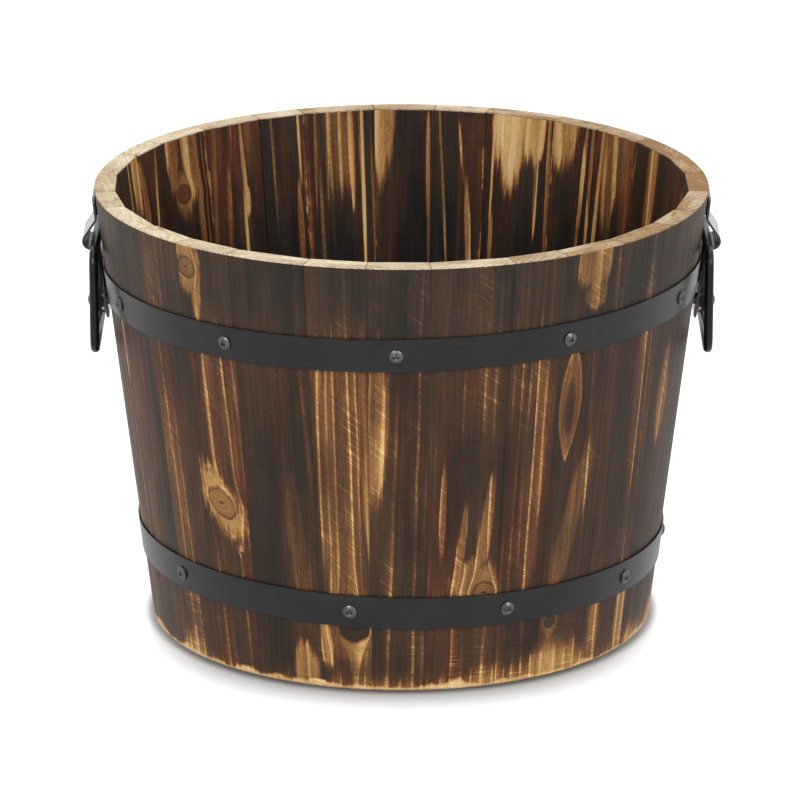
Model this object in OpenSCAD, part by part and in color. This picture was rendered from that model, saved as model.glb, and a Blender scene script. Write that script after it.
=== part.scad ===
// Wooden barrel planter: tapered fir staves held by two screwed steel hoops, with a drop handle at each side.
// Millimetres, +Z up. The origin is on the ground under the middle of the pot, the front faces -Y, and the
// handles are on -X and +X. Angles go round from the front towards +X. Steel pieces are set out on the wall:
// "out" is the distance from the wood at right angles to it, and "down" is the distance along it from the rim.

/* [Pot] */
// Height of the pot
pot_h = 292; // [220:1:400]
// Outside radius at the rim
rim_r = 200; // [185:1:240]
// Outside radius at the ground
foot_r = 164.4; // [150:0.2:180]
// Thickness of a stave
stave_t = 14; // [12:0.5:18]
// Number of staves
stave_count = 28; // [24:2:30]
// How far a joint wanders from even spacing, as a share of a stave
joint_wander = 0.12; // [0:0.01:0.15]
// Pattern of the wander, as the angle in degrees that it turns through from one joint to the next
wander_angle = 230; // [1:1:359]
// Open gap in a joint between two staves
joint_gap = 0.15; // [0.05:0.05:0.3]
// Chamfer round the rim's outside edge
rim_chamfer = 0.8; // [0.3:0.1:2]
// Chamfer round the outside edge at the ground
foot_chamfer = 1.6; // [0.5:0.1:3]

/* [Base] */
// Height of the base boards' underside above the ground
base_lift = 24; // [18:1:40]
// Thickness of the base boards
base_t = 12; // [9:0.5:16]
// Number of base boards
base_boards = 5; // [3:2:7]
// Gap between two base boards
board_gap = 0.4; // [0.2:0.1:2]
// Depth of the groove that holds the base, at its lower edge
groove_depth = 5; // [3:0.5:7]
// Play of the base in its groove, round the edge
base_play = 0.4; // [0.3:0.1:1]
// Radius of the drain hole
drain_r = 8; // [5:0.5:12]
// Width of a batten under the base
batten_w = 24; // [18:1:30]
// Thickness of a batten
batten_t = 12; // [8:0.5:14]
// Distance of a batten's middle from the middle of the pot
batten_y = 72; // [50:1:90]
// Room between a batten's end and the staves
batten_end_gap = 3; // [1:0.5:10]
// Radius of a batten nail's shank
nail_r = 1.2; // [0.8:0.1:1.6]
// Radius of a batten nail's head
nail_head_r = 2.8; // [2:0.1:3.5]
// Length of a batten nail
nail_l = 20; // [15:0.5:21]

/* [Hoops] */
// Distance of the upper hoop's middle below the rim
upper_hoop_drop = 58.5; // [57:0.5:112]
// Slope of the upper hoop, its right side up, in degrees
upper_hoop_tilt = 1; // [-1.5:0.1:1.5]
// Height of the lower hoop's middle
lower_hoop_z = 55.5; // [50:0.5:120]
// Slope of the lower hoop, its right side up, in degrees
lower_hoop_tilt = -0.9; // [-1.5:0.1:1.5]
// Width of the hoop strip
hoop_w = 22; // [18:0.5:30]
// Thickness of the hoop strip
hoop_t = 1.2; // [0.8:0.1:2]
// Length of the lap at the back
lap_l = 34; // [26:1:50]
// Distance between the two rivets of a lap
rivet_pitch = 16; // [12:1:22]
// Radius of a rivet's shank
rivet_r = 2; // [1.5:0.1:2.5]
// Radius of a rivet's head
rivet_head_r = 3.8; // [3.2:0.1:5]
// Height of a rivet's head
rivet_head_h = 1.8; // [1:0.1:2.5]

/* [Hoop screws] */
// Angle from one hoop screw to the next
screw_angle = 34; // [30:1:35]
// Angle of the upper hoop's middle front screw
upper_mid_angle = -1; // [-3:0.5:3]
// Angle of the first screw in the lower hoop's even run
lower_start_angle = -11; // [-14:0.5:-8]
// Angle of the lower hoop's one screw outside the run
lower_odd_angle = -55; // [-60:0.5:-50]
// Radius of a screw's shank
screw_r = 1.9; // [1.5:0.1:2.2]
// Length of a screw's shank
screw_l = 12; // [8:0.5:12.5]
// Radius of a pan head
pan_r = 4.5; // [3.8:0.1:5.2]
// Height of a pan head
pan_h = 2.6; // [2:0.1:3.4]
// Radius of the dome on a pan head
pan_dome_r = 6.4; // [5.5:0.1:8]

/* [Handles] */
// Width of a strap
strap_w = 38; // [30:1:44]
// Thickness of a strap
strap_t = 1.5; // [1.2:0.1:2]
// Top end of a strap, down from the rim
strap_top = 6; // [4:0.5:8]
// Bottom end of a strap, down from the rim
strap_end = 88; // [86:0.5:96]
// Corner radius at a strap's ends
strap_corner_r = 5; // [2:0.5:8]
// How far the saddle stands out from the wood
saddle_reach = 11.8; // [10.5:0.1:13]
// Inside bend radius at the saddle's crest
saddle_r = 4.2; // [3:0.1:4.6]
// Slope of the saddle's upper leaf away from the wood, in degrees
leaf_slope = 40; // [38:1:50]
// Slope of the saddle's return down towards the wood, in degrees
return_slope = 16; // [5:1:20]
// Bend radius at the foot of the leaf and of the return, on the strap's middle line
foot_bend_r = 2; // [1.6:0.1:2.4]
// Strap screw's place, down from the rim
strap_screw_down = 13; // [12:0.5:14]
// Radius of a strap screw's countersunk head
csk_r = 3.2; // [2.8:0.1:3.8]
// Handle bolt's place, down from the rim
bolt_down = 79; // [77:0.5:79]
// Radius of the bail's rod
rod_r = 3; // [2.5:0.05:3.2]
// Middle of the bail's hinge bar, down from the rim
bail_down = 36; // [35:0.2:36.6]
// Width of the bail between the middles of its legs
bail_w = 90; // [76:1:110]
// Height of the bail between the middles of its bars
bail_h = 65.5; // [60:0.5:70]
// Bend radius of the bail's corners, on the rod's middle line
bail_bend_r = 10; // [6:0.5:16]
// Play of the bail's bar in its saddle and at the wood
bail_play = 0.3; // [0.2:0.05:0.5]

/* [Handle bolts] */
// Radius of a bolt's shank
bolt_r = 3.9; // [3:0.1:4]
// Radius of a bolt's round head
bolt_head_r = 8; // [6:0.5:10]
// Height of a bolt's round head
bolt_head_h = 3.6; // [2.5:0.1:4.5]
// Radius of a washer
washer_r = 8; // [7.6:0.1:9]
// Thickness of a washer
washer_t = 1.6; // [1:0.1:2]
// Width of a cap nut across its flats
nut_flats = 13; // [12:0.5:14]
// Height of a cap nut's six-sided part
nut_h = 7.4; // [6:0.1:8]
// Height of a cap nut with its dome
nut_dome_h = 10.4; // [9.6:0.1:12]

/* [Fits] */
// Room between the hoops, straps and fasteners and what they lie on
seat_gap = 0.1; // [0.05:0.01:0.15]
// Room round a fastener's shank in its hole
hole_gap = 0.15; // [0.05:0.01:0.2]
// Smoothness of round pieces
$fn = 96; // [48:16:192]

/* [Hidden] */
reach = 3 * rim_r; // longer than anything that it cuts
taper = atan2(rim_r - foot_r, pot_h);
upper_hoop_z = pot_h - upper_hoop_drop;
stave_pitch = 360 / stave_count;
LEFT = -90;
RIGHT = 90;

base_z = base_lift + seat_gap;
groove_r = wall_r(base_lift) - stave_t / cos(taper) + groove_depth;
base_r = groove_r - base_play;
board_w = 2 * base_r / base_boards;
batten_z = base_lift - batten_t;
batten_l = 2 * (sqrt(pow(wall_r(batten_z) - stave_t / cos(taper), 2) - pow(batten_y + batten_w / 2, 2))
                - batten_end_gap);
// Nails stand at the boards' middles, drawn in so that the outer ones still pass through the batten
nail_pitch = min(board_w, (batten_l - 4 * nail_head_r) / (base_boards - 1));
nail_head_t = 1;

screws_each_side = 2;
upper_screws = [for (back = [0, 180], i = [-screws_each_side : screws_each_side])
                    back + i * screw_angle + upper_mid_angle];
lower_screws = concat([for (i = [0 : 8]) lower_start_angle + i * screw_angle], [lower_odd_angle]);
// The laps lie at the back, midway between two screws
upper_lap_a = 180 + upper_mid_angle + screw_angle / 2;
lower_lap_a = lower_start_angle + 5.5 * screw_angle;
recess_w = 1.1;
recess_l = 5;
recess_deep = 1.5;
tip_l = 3; // pointed end of a screw

hoop_face = seat_gap + hoop_t; // how far a hoop's outside stands out from the wood
strap_seat = hoop_face + seat_gap; // back of the strap where it crosses the hoop
rod_out = rod_r + bail_play;
bail_x = rim_r + rod_out * cos(taper) - bail_down * sin(taper);
bail_z = pot_h - rod_out * sin(taper) - bail_down * cos(taper);
bolt_seat = strap_seat + strap_t + seat_gap; // back of the washer
nut_seat = bolt_seat + washer_t + seat_gap;
bolt_head_gap = 0.4; // the head seats on a flat stave that may not face it squarely
csk_l = 12;

stave_names = [for (i = [1 : stave_count]) str("stave_", i < 10 ? "0" : "", i)];
board_names = [for (i = [1 : base_boards]) str("base_board_", i)];

// ---- Setting out ----

// Outside radius of the pot at a height
function wall_r(z) = foot_r + (rim_r - foot_r) * z / pot_h;

// Height of a point on the wall that lies this far down from the rim
function wall_z(down) = pot_h - down * cos(taper);

// Angle of a joint between staves; joint 0 is the first one left of the front
function joint_at(i) = stave_pitch * (i - 0.5 + joint_wander * sin(wander_angle * (i % stave_count)));

// How far apart two angles are, round the pot
function apart(a, b) = abs((a - b + 900) % 360 - 180);

// Height of a sloping hoop's middle at an angle
function hoop_z(z, tilt, a) = z + tan(tilt) * wall_r(z) * sin(a);

// Places its children on the wall, with +X straight out of the wood and +Z up along it
module on_wall(a, z, out = 0)
    rotate([0, 0, a - 90])
        translate([wall_r(z), 0, z])
            rotate([0, taper, 0])
                translate([out, 0, 0])
                    children();

// The same, with +Z straight out of the wood, for a fastener modelled standing up
module driven_at(a, z, out = 0) on_wall(a, z, out) rotate([0, 90, 0]) children();

// Everything from the wood's outside face outwards by these two distances
module wall_skin(from, to)
    difference() {
        cylinder(h = pot_h, r1 = foot_r + to / cos(taper), r2 = rim_r + to / cos(taper));
        cylinder(h = pot_h, r1 = foot_r + from / cos(taper), r2 = rim_r + from / cos(taper));
    }

// A wedge of the pot about an angle, with its two sides drawn in by half a gap
module wedge(mid, half, gap = 0) {
    tip = gap / 2 / sin(half);
    rotate([0, 0, mid - 90])
        linear_extrude(pot_h)
            polygon([[tip, 0], [tip + reach * cos(half), reach * sin(half)],
                     [tip + reach * cos(half), -reach * sin(half)]]);
}

// ---- Bent steel strip ----

function unit(v) = v / norm(v);
function left_of(d) = [-d.y, d.x];
function turned(d, a) = [d.x * cos(a) - d.y * sin(a), d.x * sin(a) + d.y * cos(a)];

// Points round the bend at corner i of a middle line, on the face that lies off to its left
function bend(line, radii, i, off) =
    let (before = unit(line[i] - line[i - 1]), after = unit(line[i + 1] - line[i]))
    let (turn = atan2(cross(before, after), before * after), way = sign(turn), r = radii[i - 1])
    let (middle = line[i] - before * r * tan(abs(turn) / 2) + way * r * left_of(before))
    let (steps = ceil(abs(turn) / 12))
    [for (k = [0 : steps]) middle - (way * r - off) * left_of(turned(before, turn * k / steps))];

// One face of a strip that follows a middle line with rounded corners
function strip_face(line, radii, off) =
    let (last = len(line) - 1)
    concat([line[0] + off * left_of(unit(line[1] - line[0]))],
           [for (i = [1 : last - 1]) each bend(line, radii, i, off)],
           [line[last] + off * left_of(unit(line[last] - line[last - 1]))]);

function strip_outline(line, radii, thick) =
    let (far = strip_face(line, radii, -thick / 2))
    concat(strip_face(line, radii, thick / 2), [for (i = [len(far) - 1 : -1 : 0]) far[i]]);

// Middle line of a handle strap, as [out, up from the rim]: a tab on the wood, the saddle that goes out
// round the bail's bar and back under it, and a tab over the hoop
function strap_line() =
    let (crest_r = saddle_r + strap_t / 2, tab = seat_gap + strap_t / 2, low_tab = strap_seat + strap_t / 2)
    let (leaf = [sin(leaf_slope), -cos(leaf_slope)], leaf_side = [cos(leaf_slope), sin(leaf_slope)])
    let (back = [-cos(return_slope), -sin(return_slope)], back_side = [sin(return_slope), -cos(return_slope)])
    let (crest_out = saddle_reach - strap_t - saddle_r)
    let (crest_down = bail_down + (rod_out - saddle_r + (rod_out - crest_out) * sin(return_slope))
                                      / cos(return_slope))
    let (corner = [crest_out, -crest_down]
                      + crest_r * (leaf_side + back_side) / (1 + leaf_side * back_side))
    [[tab, -strap_top],
     corner - leaf * (corner.x - tab) / leaf.x,
     corner,
     corner + back * (low_tab - corner.x) / back.x,
     [low_tab, -strap_end]];

// ---- Fasteners, standing on their seat with +Z out ----

// Part of a ball that stands up to a height, cut by a cylinder
module dome(r, h, ball_r)
    intersection() {
        cylinder(h = h, r = r);
        translate([0, 0, h - ball_r]) sphere(ball_r);
    }

module pointed_shank(r, l)
    translate([0, 0, -l]) {
        cylinder(h = tip_l, r1 = r / 8, r2 = r);
        translate([0, 0, tip_l]) cylinder(h = l - tip_l, r = r);
    }

module cross_recess(top)
    for (turn = [0, 90])
        rotate([0, 0, turn])
            translate([-recess_l / 2, -recess_w / 2, top - recess_deep])
                cube([recess_l, recess_w, 2 * recess_deep]);

module pan_screw() {
    difference() {
        dome(pan_r, pan_h, pan_dome_r);
        intersection() {
            cross_recess(pan_h);
            cylinder(h = 2 * pan_h, r1 = 0, r2 = recess_l);
        }
    }
    pointed_shank(screw_r, screw_l + seat_gap);
}

module countersunk_screw() {
    difference() {
        translate([0, 0, screw_r - csk_r]) cylinder(h = csk_r - screw_r, r1 = screw_r, r2 = csk_r);
        intersection() {
            cross_recess(0);
            cylinder(h = 4 * recess_deep, r = csk_r * 0.7, center = true);
        }
    }
    translate([0, 0, screw_r - csk_r]) pointed_shank(screw_r, csk_l - csk_r + screw_r);
}

module countersink()
    translate([0, 0, screw_r - csk_r])
        cylinder(h = csk_r - screw_r + seat_gap, r1 = screw_r + hole_gap,
                 r2 = csk_r + seat_gap + hole_gap);

// Round hole through everything near its seat
module hole(r, deep) translate([0, 0, -deep]) cylinder(h = 2 * deep, r = r + hole_gap);

// ---- Where the fasteners go ----

module at_upper_screws(out, near = 0, within = 180)
    for (a = upper_screws)
        if (apart(a, near) < within) driven_at(a, hoop_z(upper_hoop_z, upper_hoop_tilt, a), out) children();

module at_lower_screws(out, near = 0, within = 180)
    for (a = lower_screws)
        if (apart(a, near) < within) driven_at(a, hoop_z(lower_hoop_z, lower_hoop_tilt, a), out) children();

module at_rivets(z, tilt, lap_a, out)
    for (side = [-1, 1]) {
        a = lap_a + side * asin(rivet_pitch / 2 / wall_r(z));
        driven_at(a, hoop_z(z, tilt, a), out) children();
    }

module at_handle(down, out, near = 0, within = 180)
    for (a = [LEFT, RIGHT])
        if (apart(a, near) < within) driven_at(a, wall_z(down), out) children();

module at_nails(z)
    for (side = [-1, 1], i = [(1 - base_boards) / 2 : (base_boards - 1) / 2])
        translate([i * nail_pitch, side * batten_y, z]) children();

// ---- Pot ----

module pot_blank()
    rotate_extrude()
        polygon([[0, 0], [foot_r - foot_chamfer, 0], [wall_r(foot_chamfer), foot_chamfer],
                 [wall_r(pot_h - rim_chamfer), pot_h - rim_chamfer], [rim_r - rim_chamfer, pot_h], [0, pot_h]]);

module stave(i) {
    mid = (joint_at(i - 1) + joint_at(i)) / 2;
    half = (joint_at(i) - joint_at(i - 1)) / 2;
    holes_within = half + 3;
    color(i % 3 == 0 ? "#4a2f1c" : i % 3 == 1 ? "#5b3a20" : "#3a2617")
        difference() {
            intersection() {
                pot_blank();
                wedge(mid, half, joint_gap);
            }
            // Flat inside face, and the groove for the base
            on_wall(mid, 0, -stave_t - reach)
                translate([0, -reach, -pot_h]) cube([reach, 2 * reach, 3 * pot_h]);
            translate([0, 0, base_lift]) cylinder(h = base_t + 2 * seat_gap, r = groove_r);
            at_upper_screws(0, mid, holes_within) hole(screw_r, screw_l - hoop_t + seat_gap);
            at_lower_screws(0, mid, holes_within) hole(screw_r, screw_l - hoop_t + seat_gap);
            at_handle(strap_screw_down, 0, mid, holes_within) hole(screw_r, csk_l - strap_t + seat_gap);
            at_handle(bolt_down, 0, mid, holes_within) hole(bolt_r, 2 * stave_t);
        }
}

// ---- Base ----

module base_board(i)
    color("#6b4a2c")
        difference() {
            intersection() {
                translate([0, 0, base_z]) cylinder(h = base_t, r = base_r);
                translate([(i - 1) * board_w - base_r + board_gap / 2, -base_r, 0])
                    cube([board_w - board_gap, 2 * base_r, pot_h]);
            }
            translate([0, 0, base_z - base_t]) cylinder(h = 3 * base_t, r = drain_r);
            at_nails(base_z) hole(nail_r, nail_l - batten_t);
        }

module batten(side)
    color("#7a5634")
        difference() {
            translate([-batten_l / 2, side * batten_y - batten_w / 2, batten_z])
                cube([batten_l, batten_w, batten_t]);
            at_nails(batten_z) {
                hole(nail_r, 2 * batten_t);
                hole(nail_head_r, nail_head_t);
            }
        }

module batten_nails()
    color("#8c8c8c")
        at_nails(batten_z) {
            cylinder(h = nail_head_t - seat_gap, r = nail_head_r);
            cylinder(h = nail_l, r = nail_r);
        }

// ---- Hoops ----

module hoop(z, tilt, lap_a)
    intersection() {
        difference() {
            union() {
                wall_skin(seat_gap, hoop_face);
                intersection() {
                    wall_skin(seat_gap + hoop_t / 2, hoop_face + hoop_t);
                    wedge(lap_a, asin(lap_l / 2 / wall_r(z)));
                }
            }
            at_rivets(z, tilt, lap_a, seat_gap) hole(rivet_r, 3 * hoop_t);
        }
        translate([0, 0, z]) rotate([0, -tilt, 0]) cube([reach, reach, hoop_w], center = true);
    }

module upper_hoop()
    color("#2b2b2d")
        difference() {
            hoop(upper_hoop_z, upper_hoop_tilt, upper_lap_a);
            at_upper_screws(0) hole(screw_r, 2 * hoop_t);
            at_handle(bolt_down, 0) hole(bolt_r, 2 * hoop_t);
        }

module lower_hoop()
    color("#2b2b2d")
        difference() {
            hoop(lower_hoop_z, lower_hoop_tilt, lower_lap_a);
            at_lower_screws(0) hole(screw_r, 2 * hoop_t);
        }

module rivet() {
    dome(rivet_head_r, rivet_head_h, rivet_head_r * 1.4);
    translate([0, 0, -2 * hoop_t]) cylinder(h = 2 * hoop_t, r = rivet_r);
}

module hoop_rivets()
    color("#333335") {
        at_rivets(upper_hoop_z, upper_hoop_tilt, upper_lap_a, hoop_face + hoop_t + seat_gap) rivet();
        at_rivets(lower_hoop_z, lower_hoop_tilt, lower_lap_a, hoop_face + hoop_t + seat_gap) rivet();
    }

module upper_hoop_screws() color("#3a3a3c") at_upper_screws(hoop_face + seat_gap) pan_screw();
module lower_hoop_screws() color("#3a3a3c") at_lower_screws(hoop_face + seat_gap) pan_screw();

// ---- Handles ----

module strap(side)
    color("#1d1d1f")
        on_wall(side, pot_h)
            difference() {
                intersection() {
                    rotate([90, 0, 0])
                        linear_extrude(strap_w, center = true)
                            polygon(strip_outline(strap_line(), [foot_bend_r, saddle_r + strap_t / 2,
                                                                 foot_bend_r], strap_t));
                    strap_plan();
                }
                translate([seat_gap + strap_t, 0, -strap_screw_down])
                    rotate([0, 90, 0]) {
                        countersink();
                        hole(screw_r, strap_t + seat_gap);
                    }
                translate([strap_seat, 0, -bolt_down]) rotate([0, 90, 0]) hole(bolt_r, 2 * strap_t);
            }

// A strap's outline with its rounded ends, seen from outside the pot
module strap_plan() {
    flat = strap_w / 2 - strap_corner_r;
    rotate([0, 90, 0])
        linear_extrude(2 * saddle_reach) {
            translate([strap_top, -flat]) square([strap_end - strap_top, 2 * flat]);
            translate([strap_top + strap_corner_r, -strap_w / 2])
                square([strap_end - strap_top - 2 * strap_corner_r, strap_w]);
            for (x = [strap_top + strap_corner_r, strap_end - strap_corner_r], y = [-flat, flat])
                translate([x, y]) circle(strap_corner_r);
        }
}

module strap_screws() color("#2a2a2c") at_handle(strap_screw_down, seat_gap + strap_t) countersunk_screw();

module handle_bolts()
    color("#9a9a9a")
        at_handle(bolt_down, -stave_t - bolt_head_gap) {
            mirror([0, 0, 1]) dome(bolt_head_r, bolt_head_h, bolt_head_r * 1.3);
            cylinder(h = stave_t + bolt_head_gap + nut_seat + nut_h, r = bolt_r);
        }

module handle_washers()
    color("#2a2a2c")
        at_handle(bolt_down, bolt_seat)
            difference() {
                cylinder(h = washer_t, r = washer_r);
                cylinder(h = 4 * washer_t, r = bolt_r + 2 * hole_gap, center = true);
            }

module cap_nut() {
    corner_r = nut_flats / 2 / cos(30);
    difference() {
        union() {
            intersection() {
                cylinder(h = nut_h, r = corner_r, $fn = 6);
                dome(corner_r, nut_h, 2 * corner_r);
            }
            dome(nut_flats / 2 - hole_gap, nut_dome_h, nut_flats / 2 + 0.5);
        }
        translate([0, 0, -nut_h]) cylinder(h = 2 * nut_h + 3 * hole_gap, r = bolt_r + hole_gap);
    }
}

module handle_cap_nuts() color("#2a2a2c") at_handle(bolt_down, nut_seat) cap_nut();

// Closed ring of round rod in the YZ plane, hanging plumb from the middle of its top bar
module bail(x) {
    straight_w = bail_w - 2 * bail_bend_r;
    straight_h = bail_h - 2 * bail_bend_r;
    color("#1a1a1c")
        translate([x, 0, bail_z]) {
            for (z = [0, -bail_h])
                translate([0, 0, z]) rotate([90, 0, 0]) cylinder(h = straight_w, r = rod_r, center = true);
            for (y = [-bail_w / 2, bail_w / 2])
                translate([0, y, -bail_h / 2]) cylinder(h = straight_h, r = rod_r, center = true);
            for (side = [0, 1], end = [0, 1])
                mirror([0, side, 0])
                    translate([0, straight_w / 2, -bail_bend_r - end * straight_h])
                        mirror([0, 0, end])
                            rotate([90, 0, 90])
                                rotate_extrude(angle = 90)
                                    translate([bail_bend_r, 0]) circle(rod_r);
        }
}

// ---- Draw ----

for (i = [1 : stave_count]) stave(i);
for (i = [1 : base_boards]) base_board(i);
batten(-1);  // batten_front
batten(1);  // batten_rear
batten_nails();
upper_hoop();
lower_hoop();
hoop_rivets();
upper_hoop_screws();
lower_hoop_screws();
strap(LEFT);  // left_strap
strap(RIGHT);  // right_strap
strap_screws();
handle_bolts();
handle_washers();
handle_cap_nuts();
bail(-bail_x);  // left_bail
bail(bail_x);  // right_bail
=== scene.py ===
# Barrel planter of torched fir staves, held by two painted steel hoops, with a drop handle at each side.
# Metres, +Z up, the front towards -Y. Angles go round from the front towards +X. Wood is set out in
# millimetres inside its materials, as across, depth and along the grain.
import math
import random
from collections import namedtuple

import bpy
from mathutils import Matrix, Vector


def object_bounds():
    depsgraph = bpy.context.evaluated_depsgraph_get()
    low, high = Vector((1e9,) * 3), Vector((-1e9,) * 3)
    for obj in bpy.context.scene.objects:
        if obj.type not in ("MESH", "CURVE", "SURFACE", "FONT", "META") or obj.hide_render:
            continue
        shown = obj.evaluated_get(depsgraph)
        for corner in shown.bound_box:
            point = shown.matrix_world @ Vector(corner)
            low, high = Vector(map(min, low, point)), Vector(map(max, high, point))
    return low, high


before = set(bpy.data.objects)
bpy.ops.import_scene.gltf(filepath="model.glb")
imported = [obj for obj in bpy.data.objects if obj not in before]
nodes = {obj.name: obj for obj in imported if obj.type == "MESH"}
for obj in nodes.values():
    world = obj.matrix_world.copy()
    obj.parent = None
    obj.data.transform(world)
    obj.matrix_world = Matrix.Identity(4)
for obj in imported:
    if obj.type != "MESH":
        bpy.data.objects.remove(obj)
cad_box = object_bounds()


# ---- Camera and studio ----
# A long lens from a little above, as the planter was photographed, on a white sweep under soft light.
# The floor is lit and shaded by the lamps and the pot, carries a painted shadow round the foot, and shows
# white to the camera where nothing shades it.

# The camera's place, tilt in degrees and lens come from a perspective fit to the rim, the sides and the foot
camera_place = (-0.00098, -3.8057, 1.3498)
camera_tilt = 72.41
lens = 272.9
# Millimetres to the metre, and the pot's outside radius at the ground
mm = 1000
foot_r = 0.1644

camera_data = bpy.data.cameras.new("camera")
camera_data.sensor_width = 36
camera_data.lens = lens
camera = bpy.data.objects.new("camera", camera_data)
camera.location = camera_place
camera.rotation_euler = (math.radians(camera_tilt), 0, 0)
bpy.context.scene.collection.objects.link(camera)
bpy.context.scene.camera = camera
bpy.context.scene.view_settings.view_transform = "Standard"


class Bench:
    """Wires the nodes of one tree, and is called b below. Each input takes a number, a colour or another
    node's output."""

    def __init__(self, tree):
        self.tree = tree

    def node(self, kind, inputs=None, **settings):
        made = self.tree.nodes.new("ShaderNode" + kind)
        for name, value in settings.items():
            setattr(made, name, value)
        for key, value in (inputs or {}).items():
            self.plug(made.inputs[key], value)
        return made

    def plug(self, socket, value):
        if isinstance(value, bpy.types.NodeSocket):
            self.tree.links.new(value, socket)
        else:
            socket.default_value = value

    def math(self, operation, *values):
        made = self.node("Math", operation=operation)
        for socket, value in zip(made.inputs, values):
            self.plug(socket, value)
        return made.outputs[0]

    def add(self, *values):
        total = values[0]
        for value in values[1:]:
            total = self.math("ADD", total, value)
        return total

    def times(self, *values):
        total = values[0]
        for value in values[1:]:
            total = self.math("MULTIPLY", total, value)
        return total

    def rest_of(self, value):
        """What is left of one."""
        return self.math("SUBTRACT", 1.0, value)

    def within_one(self, value):
        """The value, kept between 0 and 1."""
        return self.math("MAXIMUM", self.math("MINIMUM", value, 1.0), 0.0)

    def length(self, x, y):
        return self.math("SQRT", self.add(self.times(x, x), self.times(y, y)))

    def between(self, share, first, second):
        """A number that goes from first to second as the share goes from 0 to 1."""
        return self.node("Mix", {0: share, 2: first, 3: second}, data_type="FLOAT").outputs[0]

    def fade(self, value, start, end, low=0.0, high=1.0):
        """Goes smoothly from low to high as value goes from start to end."""
        made = self.node("MapRange", {0: value, 1: start, 2: end, 3: low, 4: high},
                         interpolation_type="SMOOTHSTEP")
        return made.outputs[0]

    def vector(self, x, y, z):
        return self.node("CombineXYZ", {0: x, 1: y, 2: z}).outputs[0]

    def split(self, vector):
        return self.node("SeparateXYZ", {0: vector}).outputs[:3]

    def millimetres(self):
        """The place on the object, in millimetres."""
        place = self.node("TexCoord").outputs["Object"]
        return self.node("Mapping", {"Vector": place, "Scale": (mm, mm, mm)}).outputs[0]

    def noise(self, vector, stretch, detail=2.0, rough=0.5):
        """Noise from 0 to 1 about 0.5, with this many cells to the millimetre along each axis."""
        scaled = self.node("VectorMath", {0: vector, 1: stretch}, operation="MULTIPLY").outputs[0]
        made = self.node("TexNoise", {"Vector": scaled, "Scale": 1.0, "Detail": detail, "Roughness": rough})
        return made.outputs[0]

    def swing(self, vector, stretch, detail=2.0, rough=0.5):
        """The same noise about 0."""
        return self.add(self.noise(vector, stretch, detail, rough), -0.5)

    def mix(self, share, first, second, blend="MIX"):
        made = self.node("Mix", data_type="RGBA", blend_type=blend)
        for socket, value in zip((made.inputs[0], made.inputs[6], made.inputs[7]), (share, first, second)):
            self.plug(socket, value)
        return made.outputs[2]

    def ramp(self, value, stops):
        made = self.node("ValToRGB", {0: value})
        elements = made.color_ramp.elements
        while len(elements) < len(stops):
            elements.new(0.5)
        for element, (place, colour) in zip(elements, stops):
            element.position = place
            element.color = colour
        return made.outputs[0]


def lamp(name, place, aim, size, power):
    data = bpy.data.lights.new(name, "AREA")
    data.shape = "RECTANGLE"
    data.size, data.size_y = size
    data.energy = power
    made = bpy.data.objects.new(name, data)
    made.location = place
    toward = [a - p for a, p in zip(aim, place)]
    flat = math.hypot(toward[0], toward[1])
    made.rotation_euler = (math.atan2(flat, -toward[2]), 0, math.atan2(-toward[0], toward[1]))
    bpy.context.scene.collection.objects.link(made)


pot_middle = (0, 0, 0.15)
lamp("key_softbox", place=(-1.5, -2.2, 2.4), aim=pot_middle, size=(1.6, 1.6), power=46)
lamp("fill_softbox", place=(1.9, -1.8, 1.9), aim=pot_middle, size=(1.6, 1.6), power=30)
lamp("top_softbox", place=(0, 0.4, 2.6), aim=pot_middle, size=(1.8, 1.8), power=22)

world = bpy.data.worlds.new("studio")
world.use_nodes = True
bpy.context.scene.world = world
sky = Bench(world.node_tree)
world.node_tree.nodes.clear()
rays = sky.node("LightPath")
seen = sky.math("MAXIMUM", rays.outputs["Is Camera Ray"],
                sky.math("MAXIMUM", rays.outputs["Is Glossy Ray"], rays.outputs["Is Transmission Ray"]))
ambient_level = 0.62
backdrop = sky.node("Background", {0: (1, 1, 1, 1), 1: sky.fade(seen, 0, 1, ambient_level, 1.0)})
sky.tree.links.new(backdrop.outputs[0], sky.node("OutputWorld").inputs[0])

bpy.ops.mesh.primitive_plane_add(size=12, location=(0, 0, 0))
floor = bpy.context.object
floor.name = "floor"
floor_material = bpy.data.materials.new("white_sweep")
floor_material.use_nodes = True
floor_material.node_tree.nodes.clear()
sweep = Bench(floor_material.node_tree)
# A painted shadow hugs the foot all round, and reaches further in front of it and behind it
side_reach = 0.009
front_reach = 0.072
near = sweep.node("AmbientOcclusion", {"Distance": 0.010}, samples=16).outputs["AO"]
floor_x, floor_y = sweep.split(sweep.node("TexCoord").outputs["Object"])[:2]
from_middle = sweep.length(floor_x, floor_y)
from_side = sweep.math("DIVIDE", sweep.math("ABSOLUTE", floor_y), from_middle)
reach = sweep.fade(from_side, 0.05, 1.0, side_reach, front_reach)
darkest = sweep.fade(from_side, 0.0, 0.9, 0.25, 0.80)
closeness = sweep.rest_of(sweep.within_one(sweep.math("DIVIDE", sweep.add(from_middle, -foot_r), reach)))
contact = sweep.times(sweep.fade(near, 0.45, 0.95, 0.34, 1.0),
                      sweep.rest_of(sweep.times(closeness, closeness, darkest)))
contact_shade = sweep.mix(contact, (0.03, 0.02, 0.01, 1), (1, 1, 1, 1))
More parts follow.
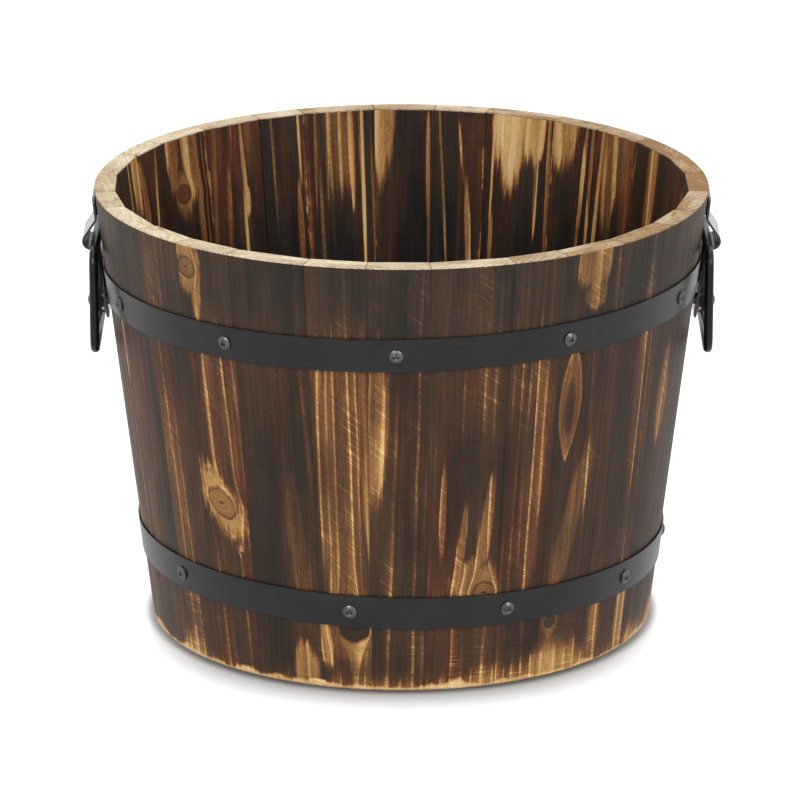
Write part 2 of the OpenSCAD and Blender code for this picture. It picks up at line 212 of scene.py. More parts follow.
# The camera sees it by the lamps and by a glow of its own. A reflection sees it plain white.
floor_grey = (0.6, 0.6, 0.6, 1)
floor_glow = 0.74
rays = sweep.node("LightPath")
reflected = sweep.math("MAXIMUM", rays.outputs["Is Glossy Ray"], rays.outputs["Is Transmission Ray"])
lit = sweep.node("BsdfDiffuse", {0: sweep.mix(1.0, floor_grey, contact_shade, "MULTIPLY")})
glow = sweep.node("Emission", {0: contact_shade, 1: floor_glow})
lifted = sweep.node("AddShader", {0: lit.outputs[0], 1: glow.outputs[0]})
bounce = sweep.node("BsdfDiffuse", {0: (0.8, 0.8, 0.8, 1)})
white = sweep.node("Emission", {0: (1, 1, 1, 1), 1: 0.95})
from_camera = sweep.node("MixShader", {0: rays.outputs["Is Camera Ray"], 1: bounce.outputs[0],
                                       2: lifted.outputs[0]})
shown = sweep.node("MixShader", {0: reflected, 1: from_camera.outputs[0], 2: white.outputs[0]})
sweep.tree.links.new(shown.outputs[0], sweep.node("OutputMaterial").inputs[0])
floor.data.materials.append(floor_material)


# ---- Staves ----
# 28 tapered fir staves, flat inside and round outside. Both faces are torched and the outer one is
# brushed, so the hard late wood shows gold through the char. The rim and the foot's edge were cut
# afterwards and stay pale.

pot_h = round(cad_box[1][2], 4)
rim_r = 0.2
stave_t = 0.014
taper = math.atan2(rim_r - foot_r, pot_h)


def paint(red, green, blue):
    """A colour as a picture's 0 to 255 values, in the linear light that shaders use."""
    return tuple((v / 255 / 12.92 if v <= 10 else ((v / 255 + 0.055) / 1.055) ** 2.4)
                 for v in (red, green, blue)) + (1.0,)


# From bare wood to full char
CHAR_TONES = [(0.0, paint(236, 208, 160)), (0.14, paint(208, 165, 104)), (0.30, paint(160, 114, 63)),
              (0.45, paint(114, 76, 44)), (0.60, paint(78, 51, 34)), (0.75, paint(52, 38, 28)),
              (0.90, paint(33, 28, 22)), (1.0, paint(14, 12, 10))]
BARE_PALE = paint(216, 203, 174)
BARE_TAN = paint(136, 102, 64)


def new_group(name, given, made):
    """An empty node group with the sockets named for each kind: its tree, bench, inputs and results."""
    tree = bpy.data.node_groups.new(name, "ShaderNodeTree")
    for way, sockets in (("INPUT", given), ("OUTPUT", made)):
        for kind, names in sockets.items():
            for socket in names.split(", "):
                tree.interface.new_socket(socket, in_out=way, socket_type="NodeSocket" + kind)
    inputs = tree.nodes.new("NodeGroupInput").outputs
    results = tree.nodes.new("NodeGroupOutput").inputs
    return tree, Bench(tree), inputs, results


def off_mark(b, given):
    """How far a point of the grain is across and along from the middle of a knot or patch that may lean."""
    across, _, along = b.split(given["Grain"])
    up = b.math("SUBTRACT", along, given["Along"])
    side = b.math("SUBTRACT", b.math("SUBTRACT", across, given["Across"]), b.times(up, given["Lean"]))
    return side, up


def knot_group():
    """A knot grown into the face: it bends the grain round itself and has a core, a ring and a pale halo."""
    tree, b, given, result = new_group(
        "knot", {"Vector": "Grain", "Float": "Across, Along, Radius, Lean, Pale, Core tone"},
        {"Vector": "Grain", "Float": "Halo, Core, Tone, Ring"})
    across, depth, along = b.split(given["Grain"])
    side, up = off_mark(b, given)
    wobble = b.swing(given["Grain"], (0.16, 0.16, 0.10))
    # Distances in knot radii
    x = b.math("DIVIDE", side, given["Radius"])
    y = b.math("DIVIDE", up, given["Radius"])
    away = b.math("SQRT", b.add(b.times(x, x), b.times(y, y), 0.0001))
    away = b.add(away, b.times(wobble, 0.5))
    # Grain lines pass the knot as a stream passes a stone: what stood at s passes at sqrt(s s + r r)
    far_y = b.math("DIVIDE", y, 1.7)
    reach = b.math("DIVIDE", 1.3, b.math("POWER", b.add(1.0, b.times(far_y, far_y)), 2.0))
    squeeze = b.rest_of(b.math("DIVIDE", reach, b.add(b.times(x, x), 0.02)))
    squeeze = b.math("SQRT", b.math("MAXIMUM", squeeze, 0.01))
    straight = b.add(across, b.times(side, b.add(squeeze, -1)))
    b.plug(result["Grain"], b.vector(straight, depth, along))
    b.plug(result["Core"], b.fade(away, 0.90, 1.02, 1.0, 0.0))
    b.plug(result["Ring"], b.times(b.fade(away, 0.80, 0.96), b.fade(away, 1.0, 1.15, 1.0, 0.0)))
    flames = b.swing(given["Grain"], (0.5, 0.5, 0.016), 3.0, 0.6)
    ragged = b.add(b.length(x, far_y), b.times(flames, 2.2), wobble)
    b.plug(result["Halo"], b.times(b.fade(ragged, 0.95, 1.95, 1.0, 0.0), given["Pale"]))
    # Fine year rings in the core, and a small check across its middle
    rings = b.math("SINE", b.times(away, 21.0))
    check = b.math("SQRT", b.add(b.times(x, x, 2.0), b.times(y, y, 14.0)))
    check = b.fade(b.add(check, b.times(wobble, 0.6)), 0.12, 0.42, 1.0, 0.0)
    b.plug(result["Tone"], b.add(given["Core tone"], b.times(rings, 0.03), b.times(check, 0.42)))
    return tree


def patch_group():
    """A patch that the torch hardly reached, ragged along the grain. With Leaf at 1 it is a year ring, cut
    by the face in a pointed leaf with a brown eye."""
    tree, b, given, result = new_group(
        "pale_patch",
        {"Vector": "Grain", "Float": "Across, Along, Half width, Half length, Lean, Bare, Leaf"},
        {"Float": "Bare"})
    side, up = off_mark(b, given)
    x = b.math("DIVIDE", side, given["Half width"])
    y = b.math("DIVIDE", up, given["Half length"])
    flames = b.swing(given["Grain"], (0.26, 0.26, 0.012), 4.0, 0.62)
    rough_edge = b.fade(given["Leaf"], 0.0, 1.0, 2.0, 0.25)
    width = b.between(given["Leaf"], b.times(x, x), b.math("ABSOLUTE", x))
    away = b.add(width, b.times(y, y), b.times(flames, rough_edge))
    filled = b.fade(away, 0.45, 1.15, 1.0, 0.0)
    eye_y = b.add(y, 0.10)
    eye = b.fade(b.add(b.times(x, x, 3.4), b.times(eye_y, eye_y, 3.2)), 0.30, 1.0, 0.55, 0.0)
    rim = b.fade(away, 0.66, 0.92, 0.72, 1.0)
    leaf = b.times(b.fade(away, 0.96, 1.06, 1.0, 0.0), b.math("SUBTRACT", rim, eye))
    b.plug(result["Bare"], b.times(b.between(given["Leaf"], filled, leaf), given["Bare"]))
    return tree


def charred_group():
    """Torched and brushed fir. Grain is millimetres across, into and along the board, and Place is where that
    is on the object. Its last input greys the char and dulls its gold above 0, and below 0 it makes more of
    the brown reddish."""
    tree, b, given, result = new_group(
        "torched_fir",
        {"Vector": "Grain, Place",
         "Float": "Pith across, Pith deep, Lean across, Lean deep, Ring width, Char, Bare, Cut end, Brushed, "
                  "Contrast, Pale tint, Halo, Core, Core tone, Ring, Soot"},
        {"Color": "Color", "Float": "Roughness, Height"})
    across, depth, along = b.split(given["Grain"])

    # Streaks of every width along the grain
    def streaks(wide, long, detail, rough):
        return b.swing(given["Grain"], (wide, wide, long), detail, rough)

    band = streaks(0.062, 0.0036, 3.0, 0.55)
    fibre = streaks(0.50, 0.013, 4.0, 0.66)
    thread = streaks(2.0, 0.080, 3.0, 0.65)
    blotch = streaks(0.024, 0.0080, 3.0, 0.55)
    grit = b.swing(given["Place"], (0.75, 0.75, 0.38), 3.0, 0.7)

    # Year rings about the pith, which leans along the board
    drift = streaks(0.028, 0.0034, 2.0, 0.5)
    ring_x = b.add(across, b.times(given["Pith across"], -1), b.times(along, given["Lean across"], -1),
                   b.times(drift, 8))
    ring_y = b.add(depth, b.times(given["Pith deep"], -1), b.times(along, given["Lean deep"], -1))
    years = b.add(b.math("DIVIDE", b.length(ring_x, ring_y), given["Ring width"]), b.times(fibre, 0.16))
    year = b.math("FLOOR", years)
    season = b.math("FRACT", years)
    # Late wood is a millimetre wide at the outside of each ring
    to_next = b.times(b.rest_of(season), given["Ring width"])
    late = b.times(b.fade(to_next, 0.0, 0.30), b.fade(to_next, 0.65, 1.25, 1.0, 0.0))
    turning = b.times(b.fade(season, 0.20, 0.86), b.fade(season, 0.93, 1.0, 1.0, 0.0))
    luck = b.node("TexWhiteNoise", {"Vector": b.vector(year, given["Pith across"], 0.0)},
                  noise_dimensions="3D").outputs["Value"]

    # Scratches of the brush run down to the right, and level near the foot
    place_x, place_y, place_z = b.split(given["Place"])
    slope = b.fade(place_z, 18, 90, 0.06, 0.78)
    down = b.add(place_z, b.times(place_x, slope))
    marks = b.noise(b.vector(b.times(place_x, 0.045), place_y, b.times(down, 0.62)), (1, 1, 1), 3.0, 0.7)
    marked = b.fade(b.noise(given["Place"], (0.022, 0.022, 0.012), 2.0), 0.36, 0.60, 0.25, 1.0)
    brushed = b.times(b.fade(marks, 0.52, 0.70), marked, given["Brushed"])

    # How far it is charred, from bare wood at 0 to black at 1
    bare = b.math("MAXIMUM", given["Bare"], given["Halo"])
    wild = b.add(b.times(band, 0.56), b.times(fibre, 0.44), b.times(thread, 0.22), b.times(blotch, 0.70),
                 b.times(grit, 0.36))
    calm = b.fade(bare, 0.0, 1.0, 1.0, 0.66)
    char = b.add(b.between(bare, given["Char"], 0.12), b.times(wild, given["Contrast"], calm))
    # Late wood stands out gold where the brush took the char off it
    bright = b.fade(b.add(b.times(luck, 0.60), b.times(blotch, -0.9), b.times(band, -1.0),
                          b.times(given["Bare"], 0.95), b.times(given["Halo"], 0.15)), 0.24, 0.74)
    worn = b.between(given["Brushed"], 0.5, marks)
    broken = b.fade(b.add(grit, worn), 0.30, 0.62, 0.45, 1.0)
    greyed = b.math("MAXIMUM", given["Soot"], 0.0)
    streak = b.times(late, bright, broken, b.fade(greyed, 0.0, 1.0, 1.0, 0.45),
                     b.fade(bare, 0.0, 0.3, 0.70, 1.0))
    char = b.between(b.times(streak, 0.78), char, 0.10)
    char = b.add(char, b.times(turning, b.add(0.3, bright), -0.05),
                 b.times(brushed, b.add(0.08, b.times(bright, 0.14)), -1.0), b.times(late, 0.03))
    core_char = b.add(given["Core tone"], b.times(fibre, 0.25))
    char = b.add(b.between(b.times(given["Core"], 0.9), char, core_char), b.times(given["Ring"], 0.20))
    burnt = b.ramp(b.within_one(char), CHAR_TONES)
    # Some bands of the brown are redder, and the last input turns it to a grey black
    red = b.fade(b.noise(given["Grain"], (0.05, 0.05, 0.005), 3.0, 0.6), 0.40, 0.66)
    red = b.times(red, b.rest_of(given["Soot"]))
    hue = b.mix(red, paint(238, 242, 230), paint(250, 213, 190))
    hue = b.mix(greyed, hue, paint(228, 243, 252))
    burnt = b.mix(b.fade(char, 0.25, 0.62), burnt, b.mix(1.0, burnt, hue, "MULTIPLY"))

    # Sawn ends: cream, with the year rings cut across
    speck = b.noise(given["Place"], (1.3, 1.3, 1.3), 3.0, 0.7)
    grain_tone = b.add(b.times(turning, 0.10), b.times(late, 0.13), b.times(b.add(speck, -0.5), 0.9),
                       b.times(fibre, 0.70), b.times(blotch, 1.5), given["Pale tint"])
    cut = b.mix(b.within_one(grain_tone), BARE_PALE, BARE_TAN)
    b.plug(result["Color"], b.mix(given["Cut end"], burnt, cut))
    rough = b.add(0.52, b.times(fibre, 0.25), b.times(streak, 0.10))
    b.plug(result["Roughness"], b.between(given["Cut end"], rough, 0.78))
    relief = b.add(b.times(fibre, 0.30), b.times(thread, 0.12), b.times(late, 0.10), b.times(brushed, -0.10),
                   b.times(given["Ring"], -0.25), b.times(speck, given["Cut end"], 0.10))
    b.plug(result["Height"], relief)
    return tree


KNOT = knot_group()
PATCH = patch_group()
TORCHED = charred_group()

# How far a stave is charred, and how strongly its grain varies that
usual_char = 0.685
usual_contrast = 0.84
# How much further some staves are charred than the others
STAVE_TONES = {"stave_01": 0.05, "stave_04": 0.02, "stave_05": 0.04, "stave_24": 0.03,
               "stave_25": -0.02, "stave_26": -0.01, "stave_27": 0.04, "stave_28": -0.01}
# The year rings' width where the picture shows it, in millimetres
STAVE_RINGS = {"stave_04": 4.6, "stave_11": 2.2, "stave_16": 2.4, "stave_17": 2.2, "stave_24": 5.5,
               "stave_25": 5.0, "stave_26": 2.3, "stave_27": 5.5, "stave_28": 3.4}

# Where knots and bare patches are: the angle round the pot in degrees, then millimetres. A core is brown
# at 0.4 and black at 1. A patch is pale at 1, toasted at 0.5, and mostly lights up the year rings at 0.25.
Knot = namedtuple("Knot", "angle height radius lean pale core")
Patch = namedtuple("Patch", "angle height half_width half_length lean bare leaf", defaults=(0.0, 0.5, 0.0))

OUTER_KNOTS = [Knot(-39.9, 118, 10.2, -0.42, 0.80, 0.37), Knot(-43.3, 277, 7.0, 0.0, 0.66, 0.44),
               Knot(-10.2, 43, 9.5, 0.0, 0.30, 0.76), Knot(34.2, 38.5, 4.4, 0.0, 0.22, 0.70),
               Knot(17.6, 67, 7.5, 0.0, 0.50, 0.44), Knot(101.0, 170, 8.5, 0.1, 0.75, 0.45),
               Knot(148.5, 95, 7.5, -0.1, 0.60, 0.70), Knot(-116.0, 215, 7.0, 0.0, 0.75, 0.40),
               Knot(-165.0, 150, 9.5, 0.15, 0.80, 0.38)]
OUTER_PATCHES = [Patch(-5.0, 184, 8.5, 62, 0.02, 0.46), Patch(-7.2, 180, 4.0, 90, 0.0, 0.36),
                 Patch(-11.8, 150, 17, 110, 0.0, 0.30), Patch(-15.9, 160, 3.5, 84, 0.0, 0.34),
                 Patch(37.6, 284, 16, 22, 0.0, 0.60), Patch(38.6, 262, 10, 12, 0.0, 0.50),
                 Patch(-42.6, 287, 9, 14, 0.0, 0.55), Patch(-41.6, 262, 4.5, 22, 0.0, 0.50),
                 Patch(-39.4, 186, 11, 72, 0.05, 0.24), Patch(34.7, 191, 8.6, 41, 0.01, 0.50, 1.0),
                 Patch(-16.1, 36, 5.5, 24, 0.0, 0.62), Patch(15.3, 76, 15, 17, 0.0, 0.46),
                 Patch(12.4, 100, 3.0, 36, 0.10, 0.46), Patch(17.4, 110, 4.2, 44, 0.10, 0.42),
                 Patch(8.3, 124, 2.6, 38, 0.0, 0.46), Patch(37.6, 110, 9, 58, 0.20, 0.30),
                 Patch(65.0, 172, 8, 40, 0.0, 0.42), Patch(-64.5, 140, 13, 100, 0.0, 0.12),
                 Patch(-70.4, 200, 4.5, 24, 0.0, 0.45), Patch(54.5, 190, 8, 80, 0.0, 0.20),
                 Patch(26.8, 150, 9, 100, 0.0, 0.20), Patch(-22.0, 100, 7, 70, -0.1, 0.24),
                 Patch(-21.5, 12, 9, 22, 0.0, 0.60), Patch(58.5, 26, 11, 40, 0.0, 0.58),
                 Patch(47.5, 22, 7, 36, 0.0, 0.40), Patch(110.5, 200, 6, 90, 0.0, 0.36),
                 Patch(128.0, 120, 12, 80, 0.0, 0.32), Patch(157.0, 250, 8, 50, 0.0, 0.48),
                 Patch(179.0, 110, 11, 100, 0.0, 0.34), Patch(-153.0, 80, 6, 60, 0.0, 0.45),
                 Patch(-139.0, 200, 11, 90, 0.0, 0.32), Patch(-104.0, 120, 10, 80, 0.0, 0.36),
                 Patch(-90.0, 40, 10, 36, 0.0, 0.38)]
INNER_KNOTS = [Knot(-126.6, 253.5, 6.6, 0.0, 0.60, 0.54), Knot(96.0, 200, 6.5, 0.0, 0.6, 0.5),
               Knot(26.0, 150, 8.0, 0.0, 0.7, 0.5)]
# From the left of the picture to the right of it, then the front that it hides
INNER_PATCHES = [Patch(-104.0, 262, 1.8, 50, 0.0, 0.62), Patch(-109.5, 288, 12, 44, 0.0, 0.68),
                 Patch(-111.0, 244, 7.5, 44, 0.0, 0.56), Patch(-117.0, 262, 1.5, 54, -0.12, 0.66),
                 Patch(-124.2, 286, 7.0, 34, 0.0, 0.58), Patch(-129.4, 284, 11, 40, 0.0, 0.54),
                 Patch(-131.6, 248, 3.2, 74, 0.0, 0.58), Patch(-133.7, 240, 0.9, 80, 0.0, 0.50),
                 Patch(-144.2, 264, 1.9, 38, 0.02, 0.62), Patch(-143.8, 214, 1.4, 40, 0.0, 0.66),
                 Patch(-144.9, 239, 2.6, 11, 0.0, 0.50), Patch(-151.7, 256, 1.0, 50, 0.02, 0.54),
                 Patch(-157.8, 270, 1.3, 36, 0.0, 0.50), Patch(-157.4, 212, 2.6, 40, 0.0, 0.66),
                 Patch(-161.4, 264, 1.1, 46, 0.0, 0.56), Patch(-164.0, 268, 1.1, 50, 0.0, 0.58),
                 Patch(-166.8, 286, 12, 60, 0.0, 0.38), Patch(-169.4, 268, 1.8, 48, 0.0, 0.55),
                 Patch(-171.8, 240, 1.3, 96, 0.0, 0.80), Patch(-175.6, 292, 10, 56, 0.0, 0.78),
                 Patch(174.2, 250, 1.7, 48, 0.0, 0.72), Patch(174.0, 205, 1.1, 46, 0.0, 0.66),
                 Patch(171.0, 240, 1.2, 76, 0.07, 0.60), Patch(165.2, 208, 2.4, 44, 0.04, 0.66),
                 Patch(167.0, 262, 1.0, 30, 0.12, 0.40), Patch(160.2, 246, 1.2, 70, 0.0, 0.64),
                 Patch(160.1, 204, 1.9, 26, 0.0, 0.66), Patch(156.2, 294, 15, 56, 0.0, 0.94),
                 Patch(150.9, 296, 11, 40, 0.0, 0.90), Patch(149.9, 258, 1.7, 50, 0.0, 0.58),
                 Patch(147.1, 240, 1.6, 96, 0.0, 0.78), Patch(143.6, 294, 13, 40, 0.0, 0.68),
                 Patch(137.9, 254, 1.8, 66, -0.03, 0.64), Patch(135.9, 240, 1.6, 70, 0.0, 0.56),
                 Patch(133.3, 242, 2.0, 92, 0.0, 0.78), Patch(130.4, 280, 14, 58, 0.0, 0.44),
                 Patch(125.0, 264, 8.0, 56, 0.0, 0.36), Patch(115.3, 270, 8.0, 52, 0.0, 0.56),
                 Patch(-148.0, 250, 26, 90, 0.0, 0.16), Patch(-136.0, 250, 12, 90, 0.0, 0.18),
                 Patch(60.0, 270, 6.0, 60, 0.0, 0.60), Patch(-50.0, 280, 8.0, 50, 0.0, 0.70),
                 Patch(5.0, 285, 10.0, 44, 0.0, 0.80), Patch(-15.0, 220, 1.6, 90, 0.0, 0.66)]


def wall_r(z):
    return foot_r + (rim_r - foot_r) * z / pot_h


def round_from_front(x, y):
    return math.degrees(math.atan2(x, -y))


def turn_between(a, b):
    """Degrees from a to b, the short way."""
    return (b - a + 180) % 360 - 180


def stave_angles(node):
    """The middle of a stave and half its width, in degrees round the pot, from its CAD mesh."""
    points = [v.co for v in node.data.vertices]
    middle = round_from_front(sum(p.x for p in points), sum(p.y for p in points))
    turns = [turn_between(middle, round_from_front(p.x, p.y)) for p in points]
    return middle + (min(turns) + max(turns)) / 2, (max(turns) - min(turns)) / 2


def new_material(name):
    """An empty material's bench, with its surface shader and output wired up."""
    material = bpy.data.materials.new(name)
    material.use_nodes = True
    material.node_tree.nodes.clear()
    bench = Bench(material.node_tree)
    surface = bench.node("BsdfPrincipled")
    output = bench.node("OutputMaterial")
    bench.tree.links.new(surface.outputs[0], output.inputs["Surface"])
    return material, bench, surface


def finish_board(node, material, b, surface, values, level, relief):
    """Gives a board torched fir with these inputs, this specular level and this depth of grain."""
    fir = b.node("Group", node_tree=TORCHED)
    for key, value in values.items():
        b.plug(fir.inputs[key], value)
    b.plug(surface.inputs["Base Color"], fir.outputs["Color"])
    b.plug(surface.inputs["Roughness"], fir.outputs["Roughness"])
    surface.inputs["Specular IOR Level"].default_value = level
    bump = b.node("Bump", {"Strength": 0.8, "Distance": relief, "Height": fir.outputs["Height"]})
    b.plug(surface.inputs["Normal"], bump.outputs[0])
    node.material_slots[0].material = material


def stave_marks(b, grain, start, middle, half, faces):
    """Bends the grain round a stave's knots, and works out its masks for knots and bare wood. Faces are the
    masks of the outer and the inner face."""
    masks = {"Halo": 0.0, "Core": 0.0, "Core tone": 0.0, "Ring": 0.0, "Bare": 0.0}
    inside = stave_t / math.cos(taper) * mm
    for knots, patches, here, inward in ((OUTER_KNOTS, OUTER_PATCHES, faces[0], 0.0),
                                         (INNER_KNOTS, INNER_PATCHES, faces[1], inside)):
        for mark in knots + patches:
            turn = turn_between(middle, mark.angle)
            if abs(turn) > half:
                continue
            is_knot = isinstance(mark, Knot)
            at_r = wall_r(mark.height / mm) * mm - inward
            values = {"Grain": grain, "Across": at_r * math.sin(math.radians(turn)) + start,
                      "Along": mark.height, "Lean": mark.lean}
            if is_knot:
                values.update({"Radius": mark.radius, "Pale": mark.pale, "Core tone": mark.core})
            else:
                values.update({"Half width": mark.half_width, "Half length": mark.half_length,
                               "Bare": mark.bare, "Leaf": mark.leaf})
            made = b.node("Group", node_tree=KNOT if is_knot else PATCH)
            for key, value in values.items():
                b.plug(made.inputs[key], value)
            for key in ("Halo", "Core", "Ring") if is_knot else ("Bare",):
                masks[key] = b.math("MAXIMUM", masks[key], b.times(made.outputs[key], here))
            if is_knot:
                grain = b.node("Mix", {0: here, 4: grain, 5: made.outputs["Grain"]},
                               data_type="VECTOR").outputs[1]
                tone = b.times(made.outputs["Tone"], b.times(made.outputs["Core"], here))
                masks["Core tone"] = b.add(masks["Core tone"], tone)
    return grain, masks


def raw_edge(b, grain, to_edge, turned, luck):
    """The stave's raw edge inside: a thin wavering line along one joint, with scorched gold beside it."""
    line = b.fade(b.noise(grain, (0.012, 0.012, 0.030), 4.0, 0.68), 0.40, 0.66, -0.8, luck.uniform(0.6, 2.6))
    past = b.math("SUBTRACT", to_edge, line)
    edge = b.add(b.fade(past, -0.3, 0.6, 0.50, 0.0), b.fade(past, -0.3, 5.0, 0.20, 0.0))
    on_side = b.math("GREATER_THAN", b.times(turned, luck.choice((-1, 1))), 0.0)
    return b.times(edge, on_side)


def worn_foot(b, grain, round_pot, along):
    """The foot is scuffed back to pale wood along its edge, and singed gold above that in places."""
    ragged = b.swing(round_pot, (0.04, 0.04, 0.03))
    scuffed = b.swing(round_pot, (0.014, 0.014, 0.0))
    flares = b.swing(grain, (0.11, 0.11, 0.010), 3.0, 0.55)
    line = b.fade(b.add(along, b.times(ragged, -14)), 2.2, 5.8, 0.95, 0.0)
    # The gold reaches higher at the picture's right
    lower = b.fade(b.split(round_pot)[0], -150, 130, 9.0, -3.0)
    glow = b.fade(b.add(along, b.times(scuffed, -84), b.times(flares, -22), lower), -5.0, 20.0, 0.70, 0.0)
    return b.math("MAXIMUM", line, glow)


def sawn_ends(b, round_pot, along):
    """The rim and the edge of the foot, which were cut after the torch."""
    waver = b.times(b.swing(round_pot, (0.7, 0.7, 0.7)), 0.7)
    rim = b.fade(b.add(along, waver), pot_h * mm - 1.0, pot_h * mm - 0.5)
    return b.math("MAXIMUM", rim, b.fade(along, 0.5, 1.3, 1.0, 0.0))


def torched_stave(node, luck):
    middle, half = stave_angles(node)
    material, b, surface = new_material(node.name + "_fir")
    place = b.node("TexCoord").outputs["Object"]
    facing = b.node("Mapping", {"Vector": place, "Rotation": (0, 0, -math.radians(middle)),
                                "Scale": (mm, mm, mm)}).outputs[0]
    across, back, along = b.split(facing)
    out = b.length(across, back)
    wall = b.add(foot_r * mm, b.times(along, (rim_r - foot_r) / pot_h))
    below = b.times(b.math("SUBTRACT", wall, out), math.cos(taper))
    inner = b.math("GREATER_THAN", below, stave_t * mm / 2)
    outer = b.rest_of(inner)
    turned = b.math("ARCTAN2", across, b.times(back, -1))
    # Millimetres round the pot, for what goes on from one stave to the next
    mean_r = (rim_r + foot_r) / 2 * mm
    round_pot = b.vector(b.times(b.add(turned, math.radians(middle)), mean_r), below, along)
    # Each stave is its own board: the noise starts somewhere else in each, and on each of its faces
    start = luck.uniform(0, 900)
    inner_start = 160
    grain = b.vector(b.add(across, start), b.add(below, b.times(inner, inner_start)), along)
    grain, masks = stave_marks(b, grain, start, middle, half, (outer, inner))

    to_edge = b.times(b.math("SUBTRACT", math.radians(half), b.math("ABSOLUTE", turned)), out)
    bare = b.math("MAXIMUM", masks["Bare"], b.times(raw_edge(b, grain, to_edge, turned, luck), inner))
    masks["Bare"] = b.math("MAXIMUM", bare, b.times(worn_foot(b, grain, round_pot, along), outer))
    # The outside is greyer above the upper hoop, and the inside is darker the deeper it goes: partly blacker
    # char, partly painted shade of the pot's depth
    top_band = b.times(b.fade(along, 215, 262), outer)
    char = b.add(usual_char + luck.uniform(-0.04, 0.04) + STAVE_TONES.get(node.name, 0.0),
                 b.times(inner, b.fade(along, 130, 285, 0.34, 0.04)), b.times(top_band, 0.02))
    contrast = b.add(usual_contrast, b.times(inner, 0.25), b.times(top_band, -0.06))
    grey_shift = b.add(b.times(top_band, 0.85), b.times(inner, -2.0))
    # The sawn ends are greyer toward the sides of the picture, browner at its right, dark at a joint, and
    # smudged in places
    aside = math.sin(math.radians(middle))
    smudge = b.fade(b.noise(round_pot, (0.06, 0.14, 0.0), 3.0, 0.6), 0.54, 0.74, 0.0, 0.45)
    joint = b.fade(to_edge, 0.25, 0.75, 0.32, 0.0)
    pale_tint = b.add(luck.uniform(0.12, 0.44) + 0.34 * aside * aside + 0.26 * aside, joint, smudge)
    # The pith lies well off to one side, so the rings cross the faces as near straight lines
    pith_across = start + luck.choice((-1, 1)) * luck.uniform(30, 90)
    pith_deep = luck.uniform(-140, -60)
    lean_across = luck.uniform(-0.02, 0.02)
    lean_deep = luck.uniform(-0.02, 0.02)
    ring_width = STAVE_RINGS.get(node.name, luck.uniform(2.8, 5.0))
    finish_board(node, material, b, surface, {
        "Grain": grain, "Place": round_pot, "Pith across": pith_across, "Pith deep": pith_deep,
        "Lean across": lean_across, "Lean deep": lean_deep, "Ring width": ring_width, "Char": char,
        "Cut end": sawn_ends(b, round_pot, along), "Brushed": outer, "Contrast": contrast,
        "Pale tint": pale_tint, "Soot": grey_shift, **masks}, level=0.25, relief=0.0006)


boards_luck = random.Random(11)
for name in sorted(n for n in nodes if n.startswith("stave_")):
    torched_stave(nodes[name], boards_luck)


# ---- Base boards and battens ----
# Five fir boards in the staves' groove and two battens nailed across them underneath. The boards are
# torched a little less than the staves, and the battens are bare sawn wood.

def sawn_board(node, along_axis, char, luck):
    material, b, surface = new_material(node.name + "_fir")
    x, y, z = b.split(b.millimetres())
    across, along = (x, y) if along_axis == "Y" else (y, x)
    start = luck.uniform(0, 900)
    grain = b.vector(b.add(across, start), z, along)
    finish_board(node, material, b, surface, {
        "Grain": grain, "Place": grain, "Pith across": start + luck.uniform(-60, 60),
        "Pith deep": luck.uniform(-90, -50), "Lean across": luck.uniform(-0.03, 0.03),
        "Lean deep": luck.uniform(-0.06, 0.06), "Ring width": luck.uniform(3.0, 5.0), "Char": char,
        "Brushed": 1.0, "Contrast": 0.8, "Pale tint": luck.uniform(0.0, 0.4)}, level=0.32, relief=0.0007)


for name in sorted(n for n in nodes if n.startswith("base_board_")):
    sawn_board(nodes[name], "Y", char=0.62, luck=boards_luck)
for name in ("batten_front", "batten_rear"):
    sawn_board(nodes[name], "X", char=0.10, luck=boards_luck)


# ---- Hoops ----
# Two bands of rolled steel strip, lapped and riveted at the back. Their satin black paint has a faint orange
# peel, and their top and bottom edges are painted near black as painted shade for the shadow line along them.

# The height of each hoop's middle, and its slope in degrees with the right side up
hoop_places = {"upper_hoop": (pot_h - 0.0585, 1.0), "lower_hoop": (0.0555, -0.9)}
hoop_w = 0.022


def dimmed(colour, factor):
    """The colour with this much of its light."""
    return tuple(c * factor for c in colour[:3]) + (1.0,)


def painted_steel(name, colour, rough, level, coat=0.0, dust=0.0):
    """Black paint on steel, with a little tone and a fine peel, and with specks of dust if there is any."""
    material, b, surface = new_material(name)
    place = b.millimetres()
    tone = b.noise(place, (0.035, 0.035, 0.05), 3.0, 0.55)
    fine = b.noise(place, (0.8, 0.8, 0.8), 3.0, 0.6)
    shade = b.mix(b.fade(b.add(tone, b.times(b.add(fine, -0.5), 0.9)), 0.3, 0.7),
                  dimmed(colour, 0.72), dimmed(colour, 1.32))
    if dust:
        cells = b.node("TexVoronoi", {"Vector": place, "Scale": 0.045}, feature="F1")
        speck = b.times(b.fade(cells.outputs["Distance"], 0.0, 0.030, 1.0, 0.0), dust)
        shade = b.mix(speck, shade, paint(150, 150, 148))
    b.plug(surface.inputs["Base Color"], shade)
    b.plug(surface.inputs["Roughness"], b.add(rough, b.times(b.add(tone, -0.5), 0.16),
                                              b.times(b.add(fine, -0.5), 0.08)))
    surface.inputs["Specular IOR Level"].default_value = level
    surface.inputs["Coat Weight"].default_value = coat
    surface.inputs["Coat Roughness"].default_value = 0.08
    bump = b.node("Bump", {"Strength": 0.35, "Distance": 0.00008, "Height": b.add(fine, b.times(tone, 2.0))})
    b.plug(surface.inputs["Normal"], bump.outputs[0])
    return material, b, surface, shade


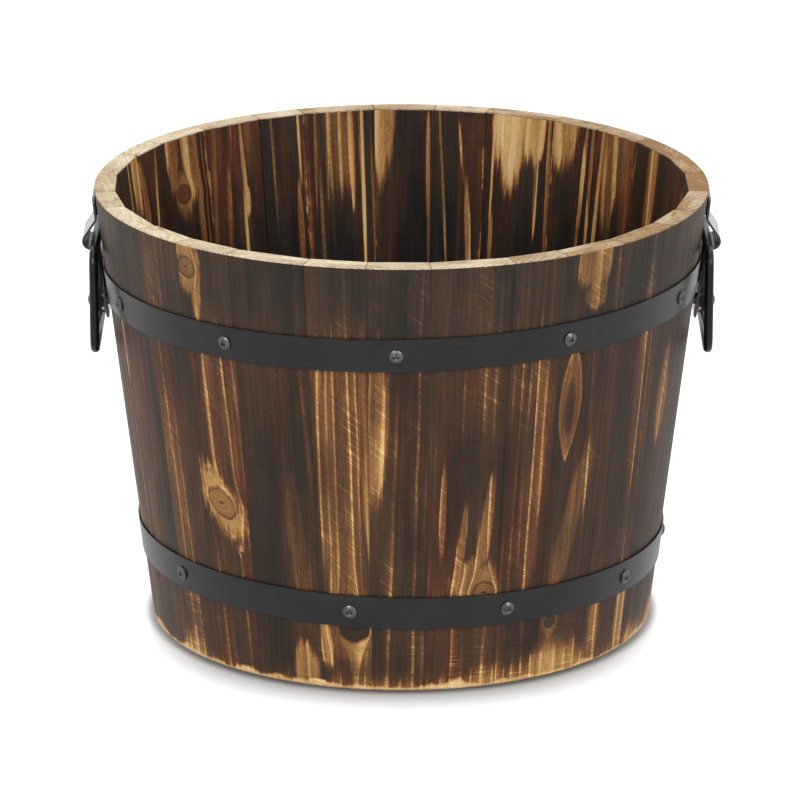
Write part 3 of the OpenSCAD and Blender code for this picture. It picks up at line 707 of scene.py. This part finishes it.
for name, (height, tilt) in hoop_places.items():
    material, b, surface, shade = painted_steel(name + "_paint", paint(25, 26, 25), rough=0.30, level=0.36,
                                                dust=0.8)
    untilted = b.node("Mapping", {"Vector": b.node("TexCoord").outputs["Object"],
                                  "Rotation": (0, math.radians(tilt), 0)}).outputs[0]
    from_middle = b.math("ABSOLUTE", b.add(b.split(untilted)[2], -height))
    # The last half millimetre of the strip's width at each side is painted near black, a painted shade for
    # the shadow line along the hoop's edge
    edge = b.fade(from_middle, hoop_w / 2 - 0.0006, hoop_w / 2 - 0.0001)
    b.plug(surface.inputs["Base Color"], b.mix(edge, shade, paint(10, 10, 10)))
    nodes[name].material_slots[0].material = material


# ---- Rivets and hoop screws ----
# Round-head rivets close the laps, under black paint a little lighter than the hoops'. The hoops are
# held by cross-recess pan-head screws in dark steel.

rivet_paint = painted_steel("rivet_paint", paint(40, 40, 41), rough=0.40, level=0.42)[0]
nodes["hoop_rivets"].material_slots[0].material = rivet_paint


def worn_metal(name, colour, rough):
    """Worn steel or zinc, mottled in tone and in gloss."""
    material, b, surface = new_material(name)
    tone = b.noise(b.millimetres(), (0.35, 0.35, 0.35), 3.0, 0.6)
    shade = b.mix(b.fade(tone, 0.3, 0.7), dimmed(colour, 0.7), dimmed(colour, 1.3))
    b.plug(surface.inputs["Base Color"], shade)
    b.plug(surface.inputs["Roughness"], b.add(rough, b.times(b.add(tone, -0.5), 0.25)))
    surface.inputs["Metallic"].default_value = 1.0
    bump = b.node("Bump", {"Strength": 0.4, "Distance": 0.00005, "Height": tone})
    b.plug(surface.inputs["Normal"], bump.outputs[0])
    return material


screw_steel = worn_metal("screw_steel_finish", paint(98, 98, 100), rough=0.34)
for name in ("upper_hoop_screws", "lower_hoop_screws"):
    nodes[name].material_slots[0].material = screw_steel


# ---- Handles ----
# Each strap is bent from one strip of steel and screwed to the stave at its top, with a bolt through its
# foot. The bail is a ring of round rod. All of it has a glossier black paint than the hoops.

strap_paint = painted_steel("strap_paint", paint(16, 16, 16), rough=0.34, level=0.20, coat=1.0)[0]
bail_paint = painted_steel("bail_paint", paint(13, 13, 13), rough=0.22, level=0.32)[0]
for name in ("left_strap", "right_strap", "strap_screws", "handle_washers", "handle_cap_nuts"):
    nodes[name].material_slots[0].material = strap_paint
for name in ("left_bail", "right_bail"):
    nodes[name].material_slots[0].material = bail_paint


# ---- Bolts and nails ----
# A round-head bolt through each handle's stave holds the strap's foot from inside the pot, and nails
# hold the base boards to the battens. Both are steel with a dull zinc coat.

zinc = worn_metal("dull_zinc", paint(132, 134, 136), rough=0.46)
for name in ("handle_bolts", "batten_nails"):
    nodes[name].material_slots[0].material = zinc
